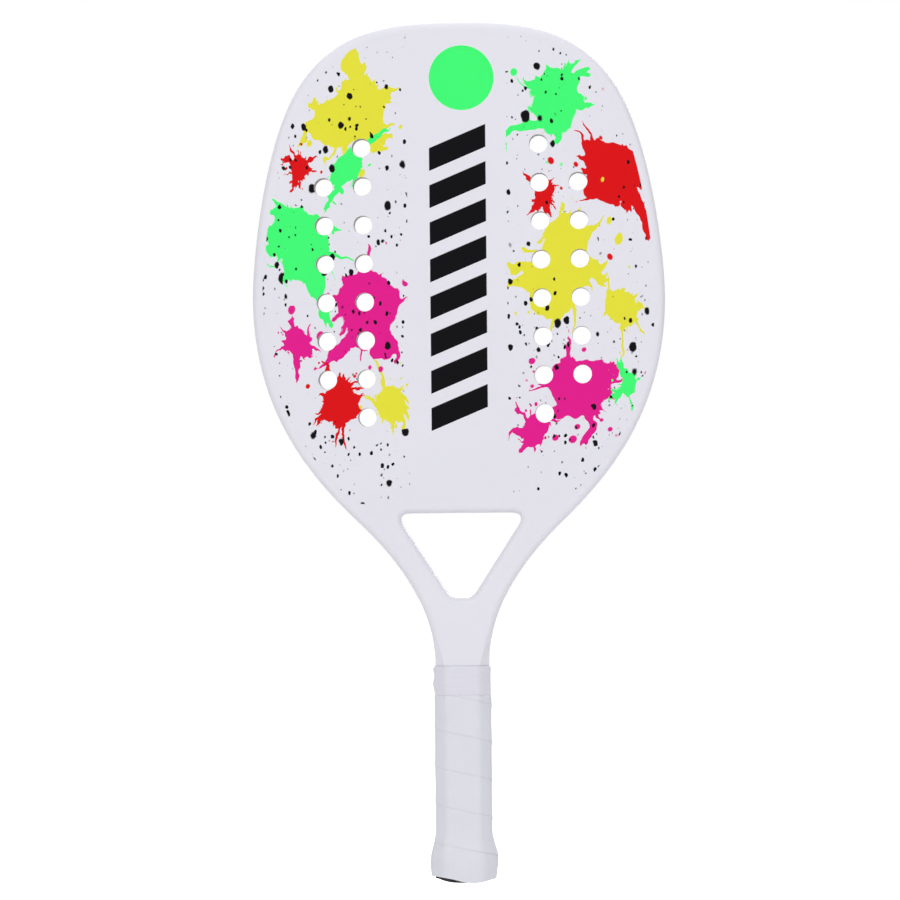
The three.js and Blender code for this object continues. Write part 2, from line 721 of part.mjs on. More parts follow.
// The wound grip: one unbroken strip, both ends trimmed level, pressed thin under the band
function gripWrap() {
  const rings = helixStations().map(({ index, low }) => stripRing(index, low));
  const gap = leastWrapGap(rings);
  console.log(`grip wrap: least gap between its turns ${gap.toFixed(2)} mm`);
  const reach = PALLET_WIDTH + FLARE;
  const room = block(
    new THREE.Vector3(-reach, -reach, WRAP_BOTTOM),
    new THREE.Vector3(reach, reach, 2 * wrapTop),
  );
  room.rotateY(Math.atan(WRAP_SKEW / PALLET_WIDTH));
  const top = block(
    new THREE.Vector3(-reach, -reach, wrapTop),
    new THREE.Vector3(reach, reach, 3 * wrapTop),
  );
  const pressed = gripBand(FIT_GAP + WRAP_PRESSED, reach, tapeBottom - FIT_GAP, HANDLE_LENGTH + OVERRUN);
  const strip = solidOf(loft(rings)).intersect(solidOf(room));
  return geometryOf(strip.subtract(solidOf(top)).subtract(solidOf(pressed)));
}

function finishingTape() {
  const seat = FIT_GAP + WRAP_PRESSED + FIT_GAP;
  return gripBand(seat, seat + TAPE_THICKNESS, tapeBottom, wrapTop);
}

function piece(name, geometry, finish) {
  const mesh = new THREE.Mesh(geometry, new THREE.MeshStandardMaterial(finish));
  mesh.name = name;
  return mesh;
}

function racket() {
  const body = mouldedBody();
  const group = new THREE.Group();
  group.add(
    piece('frame_tube', frameTube(body), palette.lacquer),
    piece('throat_bridge', throatBridge(body), palette.lacquer),
    piece('eva_core', evaCore(), palette.foam),
    piece('front_face', faceSheet(-1), palette.lacquer),
    piece('back_face', faceSheet(1), palette.lacquer),
    piece('leg_spacer', legSpacer(), palette.foam),
    piece('pallet_front', pallet(-1), palette.shell),
    piece('pallet_back', pallet(1), palette.shell),
    piece('butt_cap', buttCap(), palette.cap),
    piece('grip_wrap', gripWrap(), palette.wrap),
    piece('finishing_tape', finishingTape(), palette.wrap),
  );
  staples(0).forEach((staple, i) => group.add(piece(`cap_staple_${i + 1}`, staple, palette.steel)));
  group.position.z = -(WRAP_BOTTOM + wrapTop) / 2;
  return group;
}

export default racket();
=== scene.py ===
import bpy
import bmesh
import math
from mathutils import Matrix, Vector, geometry, noise


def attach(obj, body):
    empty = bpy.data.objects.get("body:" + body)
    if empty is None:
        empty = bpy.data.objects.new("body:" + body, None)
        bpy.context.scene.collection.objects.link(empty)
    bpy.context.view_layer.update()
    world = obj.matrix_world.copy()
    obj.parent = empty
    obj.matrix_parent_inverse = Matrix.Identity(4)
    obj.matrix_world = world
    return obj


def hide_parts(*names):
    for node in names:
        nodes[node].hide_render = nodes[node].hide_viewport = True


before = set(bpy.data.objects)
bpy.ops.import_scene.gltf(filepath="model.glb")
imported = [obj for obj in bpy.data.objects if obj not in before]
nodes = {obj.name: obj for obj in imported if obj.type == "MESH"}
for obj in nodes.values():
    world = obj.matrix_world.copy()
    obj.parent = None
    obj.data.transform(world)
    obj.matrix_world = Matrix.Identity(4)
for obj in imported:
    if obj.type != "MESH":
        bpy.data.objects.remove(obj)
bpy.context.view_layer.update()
print("frame loaded with", len(nodes), "CAD nodes")

# Lengths in the dictionaries are millimetres, and heights are measured from the butt end.
mm = 0.001
buttEnd = -62.4


def up(height):
    return (height + buttEnd) * mm


def lerp(low, high, share):
    return low + (high - low) * share


def smoothstep(value, low, high):
    share = min(1, max(0, (value - low) / (high - low)))
    return share * share * (3 - 2 * share)


def hump(value, middle, width):
    return math.exp(-((value - middle) / width) ** 2)


# Outline shared by frame, faces and core
racket = {
    "length": 480,
    "headWidth": 230,
    "thickness": 20,
    "handle": 121.5,
    "tail": 10,
    "neckWidth": 30,
    "neckDepth": 25,
    "neck": {"up": 0.0023, "above": 0.0714},
    "flank": {"out": 0.4913, "up": 0.2221, "below": 0.108, "above": 0.0905, "lean": 46.2},
    "widest": {"up": 0.572, "below": 0.184, "above": 0.0481},
    "shoulder": {"out": 0.8024, "up": 0.8819, "below": 0.107, "above": 0.1352, "lean": -27.2},
    "crown": 0.25,
    "throatTop": {"up": 0.2368, "out": 0.5927, "radius": 5},
    "throatFloor": {"up": 0.106, "out": 0.262, "radius": 7},
    "curveSteps": 26,
}
bodyLength = racket["length"] - racket["handle"]
halfThickness = racket["thickness"] / 2
throatTop = racket["handle"] + racket["throatTop"]["up"] * bodyLength
throatFloor = racket["handle"] + racket["throatFloor"]["up"] * bodyLength


def halfOutline():
    # right-hand side from neck to tip, as points and the directions that lead inwards
    def at(out, share):
        return Vector((out * racket["headWidth"] / 2, 0, racket["handle"] + share * bodyLength))

    def along(point, lean, share):
        turn = math.radians(lean)
        return point + Vector((math.sin(turn), 0, math.cos(turn))) * share * bodyLength

    neckShape, flankShape = racket["neck"], racket["flank"]
    widestShape, shoulderShape = racket["widest"], racket["shoulder"]
    neck = at(racket["neckWidth"] / racket["headWidth"], neckShape["up"])
    flank = at(flankShape["out"], flankShape["up"])
    widest = at(1, widestShape["up"])
    shoulder = at(shoulderShape["out"], shoulderShape["up"])
    tip, crown = at(0, 1), at(racket["crown"], 1)
    spans = [
        (neck, along(neck, 0, neckShape["above"]),
         along(flank, flankShape["lean"], -flankShape["below"]), flank),
        (flank, along(flank, flankShape["lean"], flankShape["above"]),
         along(widest, 0, -widestShape["below"]), widest),
        (widest, along(widest, 0, widestShape["above"]),
         along(shoulder, shoulderShape["lean"], -shoulderShape["below"]), shoulder),
        (shoulder, along(shoulder, shoulderShape["lean"], shoulderShape["above"]), crown, tip),
    ]
    points = [neck]
    for span in spans:
        points += geometry.interpolate_bezier(*span, racket["curveSteps"] + 1)[1:]
    inward = [Vector((-1, 0, 0))]
    for before, after in zip(points, points[2:]):
        step = (after - before).normalized()
        inward.append(Vector((-step.z, 0, step.x)))
    return points, inward + [Vector((0, 0, -1))]


rightSide, inwards = halfOutline()


def flankAt(height):
    for low, high in zip(rightSide, rightSide[1:]):
        if low.z <= height < high.z:
            return lerp(low.x, high.x, (height - low.z) / (high.z - low.z))


cornerTop = racket["throatTop"]["out"] * flankAt(throatTop)
cornerFloor = racket["throatFloor"]["out"] * flankAt(throatFloor)
armSlope = (cornerTop - cornerFloor) / (throatTop - throatFloor)
armLean = math.atan(armSlope)
topTrim = racket["throatTop"]["radius"] / math.tan((math.pi / 2 - armLean) / 2)
floorTrim = racket["throatFloor"]["radius"] / math.tan((math.pi / 2 + armLean) / 2)


def mirrored(points):
    return points + [Vector((-p.x, p.y, p.z)) for p in reversed(points) if abs(p.x) > 1e-3]


def roundedCorner(before, corner, after, trim, steps=8):
    enter = corner.lerp(before, trim / (corner - before).length)
    leave = corner.lerp(after, trim / (corner - after).length)
    return geometry.interpolate_bezier(
        enter, enter.lerp(corner, 2 / 3), leave.lerp(corner, 2 / 3), leave, steps)


def outlinePoints():
    # runs on below the neck, where trimNeck cuts it off
    foot = Vector((racket["neckWidth"] / 2, 0, racket["handle"] - racket["tail"]))
    return mirrored([foot] + rightSide)


def throatPoints():
    floor, top = Vector((cornerFloor, 0, throatFloor)), Vector((cornerTop, 0, throatTop))
    return mirrored(roundedCorner(Vector((0, 0, throatFloor)), floor, top, floorTrim)
                    + roundedCorner(floor, top, Vector((0, 0, throatTop)), topTrim))


def headPoints(inset, floor, corner=7):
    # the outline above a straight floor, drawn in by an inset, with rounded floor corners
    inner = [p + n * inset for p, n in zip(rightSide, inwards)]
    first = next(i for i, p in enumerate(inner) if p.z > floor + corner)
    low, high = inner[first - 1], inner[first]
    lean = (high.x - low.x) / (high.z - low.z)
    foot = Vector((high.x - lean * (high.z - floor), 0, floor))
    above = foot + Vector((lean, 0, 1)) * corner
    return mirrored(roundedCorner(Vector((0, 0, floor)), foot, above, corner) + inner[first:])


# Small mesh helpers
def closedLoop(bm, points, depth=0):
    ring = [bm.verts.new((p.x * mm, depth * mm, up(p.z))) for p in points]
    return [bm.edges.new((a, b)) for a, b in zip(ring, ring[1:] + ring[:1])]


def everything(bm):
    return bm.verts[:] + bm.edges[:] + bm.faces[:]


def unique(items):
    # each once, in the order of their first coming
    return list(dict.fromkeys(items))


def geometryOf(faces):
    edges = unique(e for f in faces for e in f.edges)
    return unique(v for e in edges for v in e.verts) + edges + list(faces)


def cutAndCap(bm, faces, point, outwards):
    bmesh.ops.bisect_plane(bm, geom=geometryOf(faces), dist=1e-8, plane_co=point,
                           plane_no=outwards, clear_outer=True)
    openEdges = [e for e in bm.edges if e.is_boundary]
    bmesh.ops.holes_fill(bm, edges=openEdges, sides=0)


def finishPiece(name, bm, replaced, material, sharp=32, turn=True):
    bmesh.ops.remove_doubles(bm, verts=bm.verts, dist=1e-7)
    if turn:
        bmesh.ops.recalc_face_normals(bm, faces=bm.faces)
    mesh = bpy.data.meshes.new(name)
    bm.to_mesh(mesh)
    bm.free()
    mesh.shade_smooth()
    mesh.set_sharp_from_angle(angle=math.radians(sharp))
    piece = bpy.data.objects.new(name, mesh)
    bpy.context.scene.collection.objects.link(piece)
    mesh.materials.append(material)
    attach(piece, "root")
    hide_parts(*replaced)
    loose = sum(1 for e in mesh.edges if e.is_loose)
    print(name, "has", len(mesh.polygons), "faces,", loose, "loose edges")
    return piece


# Materials
def linear(colour):
    # sRGB hex to linear
    parts = [int(colour[i:i + 2], 16) / 255 for i in (1, 3, 5)]
    return [c / 12.92 if c <= 0.04045 else ((c + 0.055) / 1.055) ** 2.4 for c in parts] + [1]


def addNode(tree, kind, inputs={}, **settings):
    # a value in inputs is a number, a colour, a node (its first output) or one of its outputs
    node = tree.nodes.new(kind if kind.startswith("Node") else "ShaderNode" + kind)
    for name, value in settings.items():
        setattr(node, name, value)
    for socket, value in inputs.items():
        if isinstance(value, bpy.types.Node):
            tree.links.new(value.outputs[0], node.inputs[socket])
        elif isinstance(value, bpy.types.NodeSocket):
            tree.links.new(value, node.inputs[socket])
        else:
            node.inputs[socket].default_value = value
    return node


def compute(tree, operation, *values, kind="Math"):
    return addNode(tree, kind, dict(enumerate(values)), operation=operation)


def blend(tree, share, low, high):
    return addNode(tree, "Mix", {0: share, 6: low, 7: high}, data_type="RGBA").outputs[2]


def mottle(tree, place, size, detail):
    # soft noise whose patches are about as large as the size given
    return addNode(tree, "TexNoise", {"Vector": place, "Scale": 1000 / size, "Detail": detail})


def remap(tree, value, start, end, low=0, high=1):
    return addNode(tree, "MapRange", {"Value": value, "From Min": start, "From Max": end,
                                      "To Min": low, "To Max": high})


def relief(tree, height, strength, depth):
    return addNode(tree, "Bump", {"Height": height, "Strength": strength,
                                  "Distance": depth * mm})


def connect(tree, shader, **sources):
    for socket, source in sources.items():
        if isinstance(source, bpy.types.Node):
            source = source.outputs[0]
        tree.links.new(source, shader.inputs[socket.replace("_", " ")])


def startMaterial(name, **shaderValues):
    material = bpy.data.materials.new(name)
    material.use_nodes = True
    tree = material.node_tree
    shader = tree.nodes["Principled BSDF"]
    for socket, value in shaderValues.items():
        shader.inputs[socket.replace("_", " ")].default_value = value
    place = addNode(tree, "TexCoord").outputs["Object"]
    return material, tree, shader, place


lacquer = {
    "colour": "#E9E8F0",
    "shade": "#E4E3EC",
    "driftSize": 70,  # slow change of tone
    "peelSize": 2.2,  # orange peel of sprayed lacquer
    "peelDepth": 0.012,
    "roughness": (0.21, 0.29),
    "specular": 0.06,  # low, so that black print stays black before a white studio
}


def lacquerBase(tree, shader, place):
    # sprayed polyurethane over fibreglass: an even gloss with a hardly visible orange peel
    drift = mottle(tree, place, lacquer["driftSize"], 1)
    tone = blend(tree, drift, linear(lacquer["colour"]), linear(lacquer["shade"]))
    peel = mottle(tree, place, lacquer["peelSize"], 1)
    skin = relief(tree, peel, 0.5, lacquer["peelDepth"])
    gloss = remap(tree, drift, 0, 1, *lacquer["roughness"])
    connect(tree, shader, Normal=skin, Roughness=gloss)
    return tone


def whiteLacquer():
    material, tree, shader, place = startMaterial("whiteLacquer", IOR=1.5,
                                                  Specular_IOR_Level=lacquer["specular"])
    tone = lacquerBase(tree, shader, place)
    connect(tree, shader, Base_Color=tone)
    return material


def startGroup(name, **sockets):
    # a node group with the inputs given by name and kind, and one mask as output
    tree = bpy.data.node_groups.new(name, "ShaderNodeTree")
    for socket, kind in sockets.items():
        tree.interface.new_socket(socket, in_out="INPUT", socket_type="NodeSocket" + kind)
    tree.interface.new_socket("Mask", in_out="OUTPUT", socket_type="NodeSocketFloat")
    return tree, addNode(tree, "NodeGroupInput").outputs


def dropsIn(tree, cells, form):
    # a drop in each Voronoi cell, its size drawn by chance, and a second chance for its use
    chance = addNode(tree, "SeparateColor", {0: cells.outputs["Color"]}).outputs
    size = compute(tree, "POWER", chance[0], form["sizePower"])
    room = compute(tree, "MULTIPLY_ADD", size, *form["dropSizes"])
    within = compute(tree, "SUBTRACT", room, cells.outputs["Distance"])
    return remap(tree, within, 0, form["dropEdge"]), chance[1]


# Forms of the print's marks: a splash is drawn at size 1, specks in millimetres
splashForm = {
    "ripples": [(1.2, 0.9), (4.5, 0.22)],  # fineness and push
    "rays": 2.6,  # fineness of the spikes round the body
    "rayRange": (0.5, 0.74),  # noise at which a spike starts and at which it is full
    "spikePower": 1.7,
    "spikeReach": 1.25,
    "bodyReach": 0.6,
    "bodyEdge": 0.02,
    "dropFineness": 4.2,
    "sizePower": 2,
    "dropSizes": (0.34, 0.04),  # spread and least
    "dropEdge": 0.06,
    "dropFade": 0.6,
}
speckForm = {
    "ripple": (0.35, 1.6),  # fineness and push
    "drawnOut": 0.72,  # below 1, so that drops are longer upwards
    "sizePower": 2.2,
    "dropSizes": (0.3, 0.05),
    "dropEdge": 0.05,
}


def splashGroup():
    # one paint splash: a body with thrown spikes and loose drops round it, of size 1
    form, vector = splashForm, "VectorMath"
    tree, given = startGroup("paintSplash", Place="Vector", Middle="Vector", Reach="Vector",
                             Turn="Float", Seed="Float")
    away = compute(tree, "SUBTRACT", given["Place"], given["Middle"], kind=vector)
    turned = addNode(tree, "VectorRotate", {"Vector": away, "Angle": given["Turn"]},
                     rotation_type="Z_AXIS")
    own = compute(tree, "DIVIDE", turned, given["Reach"], kind=vector)
    seeded = compute(tree, "ADD", own, given["Seed"], kind=vector)
    for fineness, push in form["ripples"]:
        ripple = addNode(tree, "TexNoise", {"Vector": seeded, "Scale": fineness, "Detail": 2})
        swing = compute(tree, "SUBTRACT", ripple.outputs["Color"], (0.5, 0.5, 0.5), kind=vector)
        own = compute(tree, "MULTIPLY_ADD", swing, (push, push, 0), own, kind=vector)
    radius = compute(tree, "LENGTH", own, kind=vector).outputs["Value"]
    facing = compute(tree, "NORMALIZE", own, kind=vector)
    around = compute(tree, "MULTIPLY_ADD", facing, (form["rays"],) * 3, given["Seed"],
                     kind=vector)
    ray = addNode(tree, "TexNoise", {"Vector": around, "Scale": 1, "Detail": 2})
    spike = compute(tree, "POWER", remap(tree, ray, *form["rayRange"]), form["spikePower"])
    limit = compute(tree, "MULTIPLY_ADD", spike, form["spikeReach"], form["bodyReach"])
    inside = compute(tree, "SUBTRACT", limit, radius)
    body = remap(tree, inside, 0, form["bodyEdge"])
    cells = addNode(tree, "TexVoronoi", {"Vector": seeded, "Scale": form["dropFineness"]})
    drop, chance = dropsIn(tree, cells, form)
    fade = compute(tree, "MULTIPLY", radius, form["dropFade"])
    thrown = compute(tree, "GREATER_THAN", chance, fade)
    drops = compute(tree, "MULTIPLY", drop, thrown)
    addNode(tree, "NodeGroupOutput", {0: compute(tree, "MAXIMUM", body, drops)})
    return tree


def speckGroup():
    # flicked ink: drops of very different size, a share of the cells left empty
    form, vector = speckForm, "VectorMath"
    tree, given = startGroup("inkSpecks", Place="Vector", Cell="Float", Seed="Float",
                             Share="Float")
    fineness, push = form["ripple"]
    ripple = addNode(tree, "TexNoise", {"Vector": given["Place"], "Scale": fineness,
                                        "Detail": 1})
    swing = compute(tree, "MULTIPLY_ADD", ripple.outputs["Color"], (push, push, 0),
                    given["Place"], kind=vector)
    flat = compute(tree, "MULTIPLY_ADD", swing, (1, form["drawnOut"], 0), given["Seed"],
                   kind=vector)
    cells = addNode(tree, "TexVoronoi", {"Vector": flat,
                                         "Scale": compute(tree, "DIVIDE", 1, given["Cell"])})
    drop, chance = dropsIn(tree, cells, form)
    kept = compute(tree, "LESS_THAN", chance, given["Share"])
    addNode(tree, "NodeGroupOutput", {0: compute(tree, "MULTIPLY", drop, kept)})
    return tree


# Print in two side fields: middle across and up, reach across and up, turn in degrees, seed
paint = {
    "yellow": "#E6E23F",
    "green": "#44FC78",
    "magenta": "#E4208F",
    "red": "#DD1419",
    "ink": "#0B0B0E",
    "haze": "#8C9192",
    "leftField": -28,
    "rightField": 27,
    "edge": 0.3,  # softness of a printed edge
    "splashes": [
        ("yellow", (-58, 368), (27, 36), 20, 1.3),
        ("yellow", (-40, 205), (12, 17), 0, 9.1),
        ("green", (-86, 296), (24, 38), -18, 4.7),
        ("green", (-62, 338), (11, 20), 40, 2.9),
        ("magenta", (-52, 258), (27, 36), 15, 7.9),
        ("magenta", (-90, 240), (10, 14), 0, 12.2),
        ("red", (-66, 206), (17, 20), 30, 5.5),
        ("red", (-88, 336), (9, 13), 0, 18.4),
        ("green", (56, 376), (29, 33), 10, 10.4),
        ("red", (86, 334), (26, 33), -25, 3.2),
        ("red", (48, 322), (9, 12), 0, 13.7),
        ("yellow", (58, 280), (27, 42), 12, 6.6),
        ("yellow", (90, 258), (13, 20), -20, 8.3),
        ("magenta", (70, 214), (30, 26), -35, 14.8),
        ("magenta", (42, 190), (11, 15), 0, 15.9),
        ("green", (94, 214), (8, 12), 0, 20.6),
    ],
    "drops": [(8.5, 3.3), (5.2, 17.1), (3.1, 23.9)],  # cell and seed of each ink layer
    "crowd": {"fineness": 0.022, "noise": (0.4, 0.58), "share": (0.06, 0.9)},
    "mist": {"Cell": 1.9, "Seed": 31.7, "Share": 0.16},
}
centreStripe = {
    "disc": (2.6, 386.6, 18.2),  # across, up, radius
    "halfWidth": 15.9,
    "bottom": 196.5,
    "bars": 8,
    "pitch": 20.7,
    "bar": 12.9,
    "slant": 0.42,
}


def printedLacquer():
    # the same lacquer over a print: thrown paint in two side fields, bars and a disc between
    material, tree, shader, place = startMaterial("printedLacquer", IOR=1.5,
                                                  Specular_IOR_Level=lacquer["specular"])
    tone = lacquerBase(tree, shader, place)
    parts = addNode(tree, "SeparateXYZ", {0: place}).outputs
    side = compute(tree, "SIGN", parts["Y"])  # the back reads as the front
    turned = compute(tree, "MULTIPLY", parts["X"], side)
    across = compute(tree, "MULTIPLY", turned, -1 / mm)
    upwards = compute(tree, "MULTIPLY", parts["Z"], 1 / mm)
    spot = addNode(tree, "CombineXYZ", {0: across, 1: upwards})
    edge = paint["edge"]
    leftField = remap(tree, across, paint["leftField"], paint["leftField"] - edge)
    rightField = remap(tree, across, paint["rightField"], paint["rightField"] + edge)
    field = compute(tree, "ADD", leftField, rightField)

    # print layers from the lowest up: grey mist of the spray, splashes, ink, bars, disc
    specks, splash = speckGroup(), splashGroup()
    mist = addNode(tree, "Group", {"Place": spot, **paint["mist"]}, node_tree=specks)
    printLayers = [(compute(tree, "MULTIPLY", mist, field), "haze")]
    for name, middle, reach, turn, seed in paint["splashes"]:
        thrown = addNode(tree, "Group", {"Place": spot, "Middle": (*middle, 0),
                                         "Reach": (*reach, 1), "Turn": math.radians(turn),
                                         "Seed": seed}, node_tree=splash)
        printLayers.append((compute(tree, "MULTIPLY", thrown, field), name))
    crowd = paint["crowd"]
    crowding = addNode(tree, "TexNoise", {"Vector": spot, "Scale": crowd["fineness"],
                                          "Detail": 1})
    share = remap(tree, crowding, *crowd["noise"], *crowd["share"])
    for cell, seed in paint["drops"]:
        flicked = addNode(tree, "Group", {"Place": spot, "Cell": cell, "Seed": seed,
                                          "Share": share}, node_tree=specks)
        printLayers.append((compute(tree, "MULTIPLY", flicked, field), "ink"))

    bar, pitch, half = centreStripe["bar"], centreStripe["pitch"], centreStripe["halfWidth"]
    leaning = compute(tree, "MULTIPLY_ADD", across, -centreStripe["slant"], upwards)
    climbed = compute(tree, "ADD", leaning, -centreStripe["bottom"])
    phase = compute(tree, "FLOORED_MODULO", climbed, pitch)
    width = compute(tree, "ABSOLUTE", across)
    bars = remap(tree, phase, bar, bar - edge)
    for mask in (remap(tree, width, half, half - edge),
                 compute(tree, "GREATER_THAN", climbed, 0),
                 compute(tree, "LESS_THAN", climbed, centreStripe["bars"] * pitch)):
        bars = compute(tree, "MULTIPLY", bars, mask)
    printLayers.append((bars, "ink"))
    x, z, radius = centreStripe["disc"]
    away = compute(tree, "DISTANCE", spot, (x, z, 0), kind="VectorMath")
    disc = remap(tree, away.outputs["Value"], radius, radius - edge)
    printLayers.append((disc, "green"))
    for mask, name in printLayers:
        tone = blend(tree, mask, tone, linear(paint[name]))
    connect(tree, shader, Base_Color=tone)
    return material


def evaFoam():
    # closed-cell EVA foam, cut by the drill: matt, cream white, with fine open cells
    material, tree, shader, place = startMaterial("evaFoam", Roughness=0.9, IOR=1.45)
    cells = addNode(tree, "TexVoronoi", {"Vector": place, "Scale": 1000 / 0.7})
    cloud = mottle(tree, place, 12, 2)
    # the cells are painted darker towards their middles, where the bump sinks them deepest:
    # painted shade in the pits; the cloud noise laid over it is a random change of tone
    shade = remap(tree, cells.outputs["Distance"], 0, 1, 0.35, 1)
    pitShadeAndCloud = compute(tree, "MULTIPLY", shade, cloud)
    tone = blend(tree, pitShadeAndCloud, linear("#C9C7C6"), linear("#E9E7E6"))
    pits = relief(tree, cells.outputs["Distance"], 0.5, 0.12)
    connect(tree, shader, Base_Color=tone, Normal=pits)
    return material


def gripPolyurethane():
    # coated polyurethane grip strip: tacky, matt to silky, with a fine pressed grain
    material, tree, shader, place = startMaterial("gripPolyurethane", IOR=1.46)
    grain = addNode(tree, "TexVoronoi", {"Vector": place, "Scale": 1000 / 0.9})
    soft = mottle(tree, place, 16, 3)
    tone = blend(tree, soft, linear("#E2E2EA"), linear("#DADAE4"))
    handled = remap(tree, soft, 0, 1, 0.5, 0.68)
    pressed = relief(tree, grain.outputs["Distance"], 0.35, 0.05)
    creased = relief(tree, soft, 0.4, 0.6)
    tree.links.new(pressed.outputs[0], creased.inputs["Normal"])
    connect(tree, shader, Base_Color=tone, Roughness=handled, Normal=creased)
    return material


def bandVinyl():
    # soft vinyl finishing band: smoother than the strip, with shallow stretch lines round it
    material, tree, shader, place = startMaterial("bandVinyl", IOR=1.52)
    stretched = addNode(tree, "Mapping", {"Vector": place, "Scale": (60, 60, 900)})
    lines = addNode(tree, "TexNoise", {"Vector": stretched, "Scale": 1, "Detail": 3})
    tone = blend(tree, lines, linear("#E1E0E9"), linear("#D9D8E3"))
    gloss = remap(tree, lines, 0, 1, 0.38, 0.55)
    ribs = relief(tree, lines, 0.35, 0.15)
    connect(tree, shader, Base_Color=tone, Roughness=gloss, Normal=ribs)
    return material


def grainedMaterial(name, size, detail, colours, roughness, depth=0, **shaderValues):
    # one noise drives the tone, the gloss and, where a depth is given, a fine relief
    material, tree, shader, place = startMaterial(name, **shaderValues)
    grain = mottle(tree, place, size, detail)
    tone = blend(tree, grain, *[linear(colour) for colour in colours])
    gloss = remap(tree, grain, 0, 1, *roughness)
    connect(tree, shader, Base_Color=tone, Roughness=gloss)
    if depth:
        connect(tree, shader, Normal=relief(tree, grain, 0.4, depth))
    return material


lacquered, printed, foamed = whiteLacquer(), printedLacquer(), evaFoam()
gripped, banded = gripPolyurethane(), bandVinyl()
# black rubber-like plastic, moulded with a matt grain
capped = grainedMaterial("blackCapPlastic", 0.5, 2, ("#0B0B0D", "#151518"), (0.62, 0.76), 0.04,
                         IOR=1.53, Specular_IOR_Level=0.05)
# structural polyurethane foam of the handle shells, moulded with a tight matt skin
shelled = grainedMaterial("shellFoam", 3, 4, ("#BDB9AE", "#ABA79C"), (0.62, 0.8), IOR=1.48)
# galvanised steel wire: dull grey with a fine drawn line
wired = grainedMaterial("stapleSteel", 0.3, 2, ("#A9ACB0", "#8F9397"), (0.3, 0.45), Metallic=1)
print("materials ready")


# Moulded frame and the bridge across its throat
frameShell = {
    "rim": 4,
    "rimSteps": 6,
    "landing": 0.6,  # flat strip beside the rounding, keeps the shading of the flats clean
    "faceInset": 5.5,
    "bevelRunOut": 22,
    "gripBevel": 5.3,
    "levels": 36,
    "hairline": 0.01,
    "bridgeReach": 8,  # how far round the bridge its faces are looked for
    "legs": {"width": 23.6, "depth": 18.6, "slot": 3, "rounding": 4, "bottom": 5.8, "gap": 0.5},
}
faceFloor = throatTop + frameShell["faceInset"]


def depthScale(height):
    neckScale = racket["neckDepth"] / racket["thickness"]
    return lerp(neckScale, 1, smoothstep(height, racket["handle"], throatTop))


def mouldedBody():
    bm = bmesh.new()
    rim, wall = frameShell["rim"], halfThickness - frameShell["rim"]
    edges = closedLoop(bm, outlinePoints(), wall) + closedLoop(bm, throatPoints(), wall)
    bmesh.ops.triangle_fill(bm, use_beauty=True, use_dissolve=False, edges=edges)
    back = bm.faces[:]
    made = bmesh.ops.extrude_face_region(bm, geom=back)["geom"]
    front = [g for g in made if isinstance(g, bmesh.types.BMFace)]
    moving = [g for g in made if isinstance(g, bmesh.types.BMVert)]
    bmesh.ops.translate(bm, verts=moving, vec=(0, -2 * wall * mm, 0))
    bmesh.ops.recalc_face_normals(bm, faces=bm.faces)
    openings = []
    for faces, side in ((front, -1), (back, 1)):
        steps = frameShell["rimSteps"]
        turns = [math.pi / 2 * k / steps for k in range(steps + 1)]
        for low, high in zip(turns, turns[1:]):
            bmesh.ops.inset_region(
                bm, faces=faces, use_boundary=True, use_even_offset=True,
                thickness=rim * (math.cos(low) - math.cos(high)) * mm,
                depth=rim * (math.sin(high) - math.sin(low)) * mm)
        bmesh.ops.inset_region(bm, faces=faces, use_boundary=True, use_even_offset=True,
                               thickness=frameShell["landing"] * mm)
        # the flat is filled anew, with the opening for the face sheet in it
        chosen = set(faces)
        around = unique(e for f in faces for e in f.edges
                        if any(g not in chosen for g in e.link_faces))
        bmesh.ops.delete(bm, geom=faces, context="FACES")
        opening = closedLoop(bm, headPoints(frameShell["faceInset"], faceFloor),
                             side * halfThickness)
        bmesh.ops.triangle_fill(bm, use_beauty=True, use_dissolve=False,
                                edges=around + opening, normal=(0, side, 0))
        openings += opening
    bmesh.ops.bridge_loops(bm, edges=openings)
    return bm


def deepenNeck(bm):
    # level cuts let the flats follow the growing depth of the neck
    low, high = racket["handle"], throatTop
    for k in range(frameShell["levels"]):
        height = up(lerp(low, high, k / (frameShell["levels"] - 1)))
        near = [f for f in bm.faces
                if min(v.co.z for v in f.verts) < height < max(v.co.z for v in f.verts)]
        bmesh.ops.bisect_plane(bm, geom=geometryOf(near), dist=1e-8, plane_co=(0, 0, height),
                               plane_no=(0, 0, 1))
    for v in bm.verts:
        v.co.y *= depthScale(v.co.z / mm - buttEnd)


def trimNeck(bm):
    cutAndCap(bm, bm.faces[:], (0, 0, up(racket["handle"])), (0, 0, -1))
    # the handle's bevels run out on the corners of the neck, each as one leaning flat
    run, bevel = frameShell["bevelRunOut"], frameShell["gripBevel"]
    top = racket["handle"] + run
    rim, deep = frameShell["rim"], depthScale(top)
    flatReach = flankAt(top) - rim + (halfThickness - rim) * deep
    topReach = (flatReach + math.hypot(rim, rim * deep)) / math.sqrt(2)
    footReach = ((racket["neckWidth"] + racket["neckDepth"]) / 2 - bevel) / math.sqrt(2)
    lean = math.atan2(topReach - footReach, run)
    for x in (-1, 1):
        for y in (-1, 1):
            outwards = Vector((x, y, 0)).normalized()
            point = outwards * footReach * mm + Vector((0, 0, up(racket["handle"])))
            low = [f for f in bm.faces if max(v.co.z for v in f.verts) < up(top) + 1e-6]
            normal = outwards * math.cos(lean) - Vector((0, 0, math.sin(lean)))
            cutAndCap(bm, low, point, normal)


